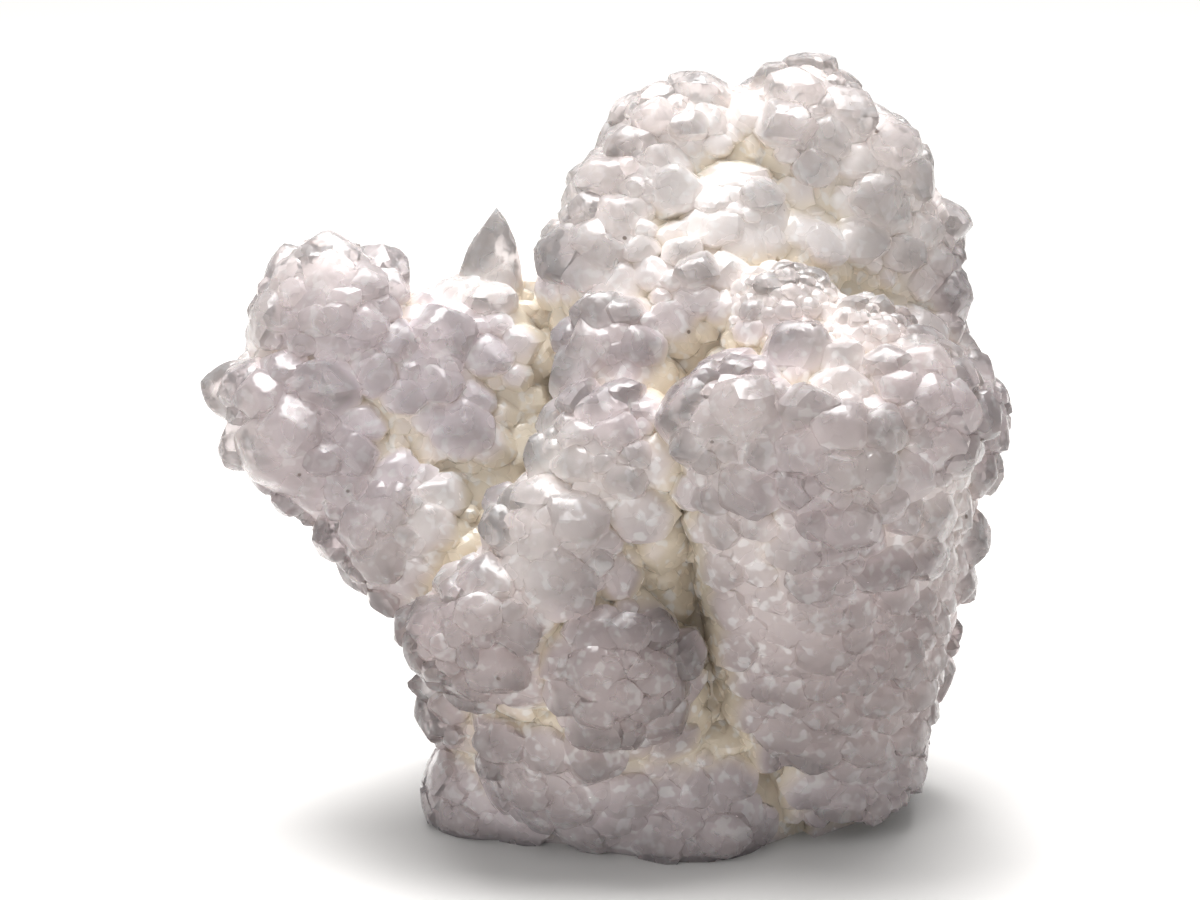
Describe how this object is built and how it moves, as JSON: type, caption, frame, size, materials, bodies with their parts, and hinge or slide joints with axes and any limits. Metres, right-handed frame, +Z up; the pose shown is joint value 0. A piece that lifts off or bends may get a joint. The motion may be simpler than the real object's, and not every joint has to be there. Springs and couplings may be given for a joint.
{
  "type": "calcite cluster",
  "caption": "Intergrown cluster of blunt, stubby calcite crystals on lobes that fan up and out from a small flat foot.",
  "frame": {"origin": "on the surface that the cluster rests on, under the middle of its box", "axes": "+X to the right as the picture shows it, the longest way across; +Y to the back; +Z up"},
  "size_m": [0.09, 0.0613, 0.0818],
  "materials": {
    "milky_calcite": "natural calcite, milky and translucent, with smooth glassy crystal faces"
  },
  "bodies": {
    "root": {"calcite_cluster": "milky_calcite"}
  },
  "joints": []
}
